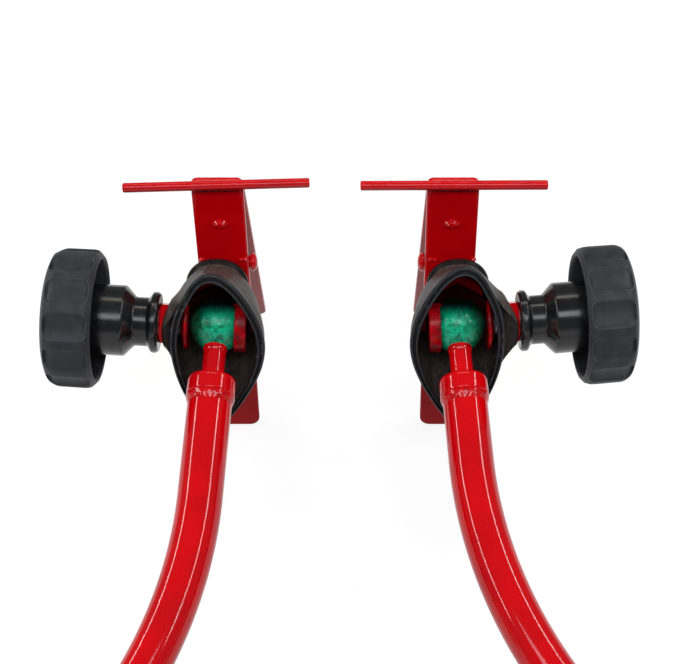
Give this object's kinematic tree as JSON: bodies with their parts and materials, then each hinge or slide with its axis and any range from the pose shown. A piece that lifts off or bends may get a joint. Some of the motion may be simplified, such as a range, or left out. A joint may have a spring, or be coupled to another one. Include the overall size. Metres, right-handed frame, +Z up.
{
  "type": "ball-clamp stand pair",
  "caption": "Mirrored low stands with an A-frame of flat bar, a booted ball clamp tightened by a fluted hand knob, and a bent tube arm on the ball.",
  "frame": {"origin": "middle of the pair's bounding box, on the floor", "axes": "+Z up, -Y towards the viewer of the picture, +X to the picture's right"},
  "size_m": [0.3622, 0.4342, 0.2085],
  "materials": {
    "red_paint": "glossy",
    "black_rubber": "satin",
    "grey_plastic": "matte, fine grain",
    "green_coat": "glossy, mottled",
    "zinc_steel": "satin"
  },
  "bodies": {
    "stand_frames": {"left_front_strap": "red_paint", "left_rear_leg": "red_paint", "left_top_rod": "red_paint", "left_brace_pin": "red_paint", "left_side_stub": "red_paint", "left_socket_post": "red_paint", "left_socket_yoke": "red_paint", "left_fixed_jaw": "red_paint", "left_clamp_nut": "red_paint", "left_ball_boot": "black_rubber", "right_front_strap": "red_paint", "right_rear_leg": "red_paint", "right_top_rod": "red_paint", "right_brace_pin": "red_paint", "right_side_stub": "red_paint", "right_socket_post": "red_paint", "right_socket_yoke": "red_paint", "right_fixed_jaw": "red_paint", "right_clamp_nut": "red_paint", "right_ball_boot": "black_rubber"},
    "left_jaw": {"left_moving_jaw": "red_paint"},
    "left_knob": {"left_clamp_screw": "zinc_steel", "left_screw_sleeve": "black_rubber", "left_hand_knob": "grey_plastic", "left_knob_insert": "zinc_steel"},
    "left_ball_body": {"left_ball": "green_coat"},
    "left_stem": {"left_ball_stem": "red_paint", "left_tube_collar": "red_paint"},
    "left_arm": {"left_arm_tube": "red_paint", "left_tube_foot": "black_rubber"},
    "right_jaw": {"right_moving_jaw": "red_paint"},
    "right_knob": {"right_clamp_screw": "zinc_steel", "right_screw_sleeve": "black_rubber", "right_hand_knob": "grey_plastic", "right_knob_insert": "zinc_steel"},
    "right_ball_body": {"right_ball": "green_coat"},
    "right_stem": {"right_ball_stem": "red_paint", "right_tube_collar": "red_paint"},
    "right_arm": {"right_arm_tube": "red_paint", "right_tube_foot": "black_rubber"}
  },
  "joints": [
    {"name": "left_jaw_slide", "type": "slide", "parent": "stand_frames", "child": "left_jaw", "axis": [-0.9984, 0.0366, 0.0436], "range_m": [0, 0.002]},
    {"name": "left_knob_turn", "type": "hinge", "parent": "left_jaw", "child": "left_knob", "pos_m": [-0.0743, 0.04823, 0.12609], "axis": [-0.9984, 0.0366, 0.0436], "range_deg": [0, 360]},
    {"name": "left_ball_pitch", "type": "hinge", "parent": "stand_frames", "child": "left_ball_body", "pos_m": [-0.0743, 0.04823, 0.12609], "axis": [1, 0, 0], "range_deg": [-60, 6]},
    {"name": "left_ball_yaw", "type": "hinge", "parent": "left_ball_body", "child": "left_stem", "pos_m": [-0.0743, 0.04823, 0.12609], "axis": [0, -0.4067, 0.9135], "range_deg": [-8, 8]},
    {"name": "left_arm_twist", "type": "hinge", "parent": "left_stem", "child": "left_arm", "pos_m": [-0.0743, 0.04823, 0.12609], "axis": [-0.0576, -0.912, -0.4061], "range_deg": [-75, 75]},
    {"name": "right_jaw_slide", "type": "slide", "parent": "stand_frames", "child": "right_jaw", "axis": [0.9984, 0.0366, 0.0436], "range_m": [0, 0.002]},
    {"name": "right_knob_turn", "type": "hinge", "parent": "right_jaw", "child": "right_knob", "pos_m": [0.0743, 0.04823, 0.12609], "axis": [0.9984, 0.0366, 0.0436], "range_deg": [0, 360]},
    {"name": "right_ball_pitch", "type": "hinge", "parent": "stand_frames", "child": "right_ball_body", "pos_m": [0.0743, 0.04823, 0.12609], "axis": [1, 0, 0], "range_deg": [-60, 6]},
    {"name": "right_ball_yaw", "type": "hinge", "parent": "right_ball_body", "child": "right_stem", "pos_m": [0.0743, 0.04823, 0.12609], "axis": [0, -0.4067, 0.9135], "range_deg": [-8, 8]},
    {"name": "right_arm_twist", "type": "hinge", "parent": "right_stem", "child": "right_arm", "pos_m": [0.0743, 0.04823, 0.12609], "axis": [0.0576, -0.912, -0.4061], "range_deg": [-75, 75]}
  ],
  "couplings": [
    {"joint": "left_jaw_slide", "follows": "left_knob_turn", "m_per_rad": 0.0003183},
    {"joint": "right_jaw_slide", "follows": "right_knob_turn", "m_per_rad": 0.0003183}
  ]
}
